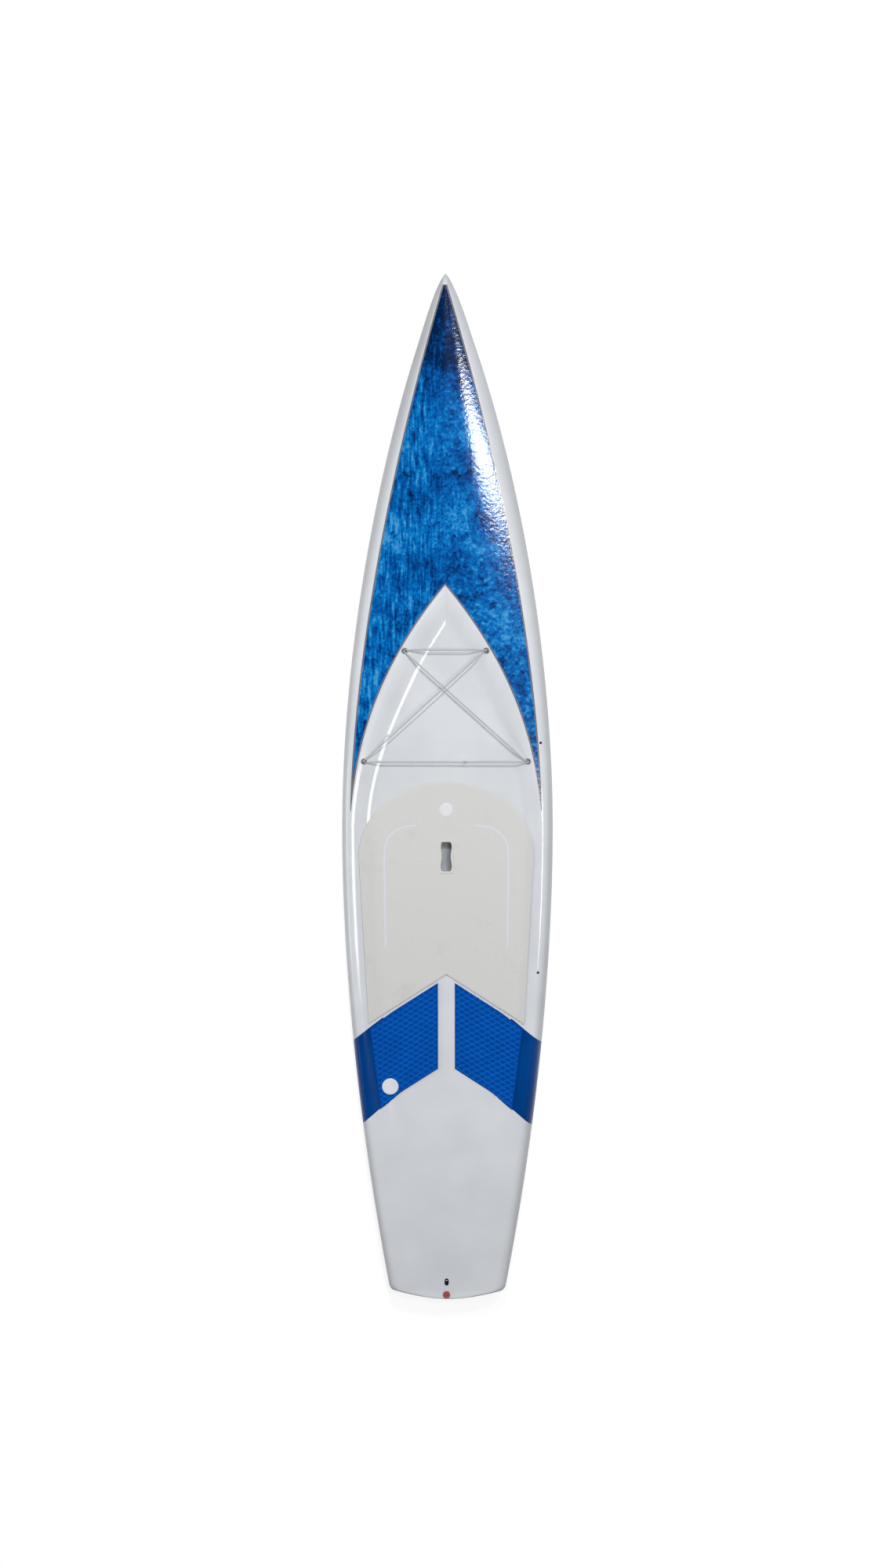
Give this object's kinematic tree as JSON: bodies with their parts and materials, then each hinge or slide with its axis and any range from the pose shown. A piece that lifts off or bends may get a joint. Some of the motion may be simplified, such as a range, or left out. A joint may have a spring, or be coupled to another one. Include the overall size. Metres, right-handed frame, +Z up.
{
  "type": "stand up paddleboard",
  "caption": "Long touring paddleboard with a pointed blue nose, dished deck, foam pads, bungee tie-down, recessed handle and tail fittings.",
  "frame": {"origin": "on the floor plane under the middle of the board's length and width, at the height of the flat bottom", "axes": "+Y runs along the board to the nose, +X to the right rail as seen by a rider facing the nose, +Z up out of the deck"},
  "size_m": [0.787, 3.81, 0.204],
  "materials": {
    "white_laminate": "sprayed satin-gloss epoxy laminate",
    "core_foam": "cut expanded foam",
    "stringer_wood": "sawn",
    "blue_print": "printed cloth under clear coat",
    "beige_eva": "closed-cell foam sheet",
    "blue_eva": "routed closed-cell foam sheet",
    "disc_white": "plain moulded disc",
    "grey_moulding": "moulded",
    "dense_foam": "cut dense foam",
    "steel_bar": "drawn",
    "bungee_cord": "braided",
    "crimp_grey": "moulded sleeve",
    "black_moulding": "moulded",
    "seal_rubber": "moulded",
    "red_plastic": "moulded",
    "insert_brass": "turned"
  },
  "bodies": {
    "board": {"deck_shell": "white_laminate", "bottom_shell": "white_laminate", "core_left": "core_foam", "core_right": "core_foam", "stringer": "stringer_wood", "nose_inlay": "blue_print", "deck_pad": "beige_eva", "tail_pad_left": "blue_eva", "tail_pad_right": "blue_eva", "pad_disc": "disc_white", "tail_disc": "disc_white", "handle_cup": "grey_moulding", "bungee_plug_front_left": "grey_moulding", "bungee_plug_front_right": "grey_moulding", "bungee_plug_rear_left": "grey_moulding", "bungee_plug_rear_right": "grey_moulding", "vent_socket": "grey_moulding", "handle_block": "dense_foam", "fin_box_block": "dense_foam", "strap_plug_front": "dense_foam", "strap_plug_rear": "dense_foam", "bungee_bar_front_left": "steel_bar", "bungee_bar_front_right": "steel_bar", "bungee_bar_rear_left": "steel_bar", "bungee_bar_rear_right": "steel_bar", "leash_bar_piece": "steel_bar", "deck_bungee": "bungee_cord", "bungee_crimp": "crimp_grey", "leash_plug": "black_moulding", "fin_box": "black_moulding", "strap_insert_front": "insert_brass", "strap_insert_rear": "insert_brass"},
    "vent_ring": {"vent_seal": "seal_rubber"},
    "vent_cap": {"vent_plug": "red_plastic"},
    "fin_nut": {"fin_plate": "steel_bar"},
    "fin_bolt": {"fin_screw": "steel_bar"}
  },
  "joints": [
    {"name": "vent_lift", "type": "slide", "parent": "board", "child": "vent_ring", "axis": [0, 0, 1], "range_m": [0, 0.0075]},
    {"name": "vent_turn", "type": "hinge", "parent": "vent_ring", "child": "vent_cap", "pos_m": [0, -1.885, 0.10597], "axis": [0, 0, 1], "range_deg": [0, 1800]},
    {"name": "fin_nut_slide", "type": "slide", "parent": "board", "child": "fin_nut", "axis": [0, 0.9994, -0.0351], "range_m": [-0.165, 0.045]},
    {"name": "fin_bolt_turn", "type": "hinge", "parent": "fin_nut", "child": "fin_bolt", "pos_m": [0, -1.39458, 0.02164], "axis": [0, 0.0351, 0.9994], "range_deg": [0, 1080]}
  ],
  "couplings": [
    {"joint": "vent_turn", "follows": "vent_lift", "rad_per_m": 4188.8}
  ]
}
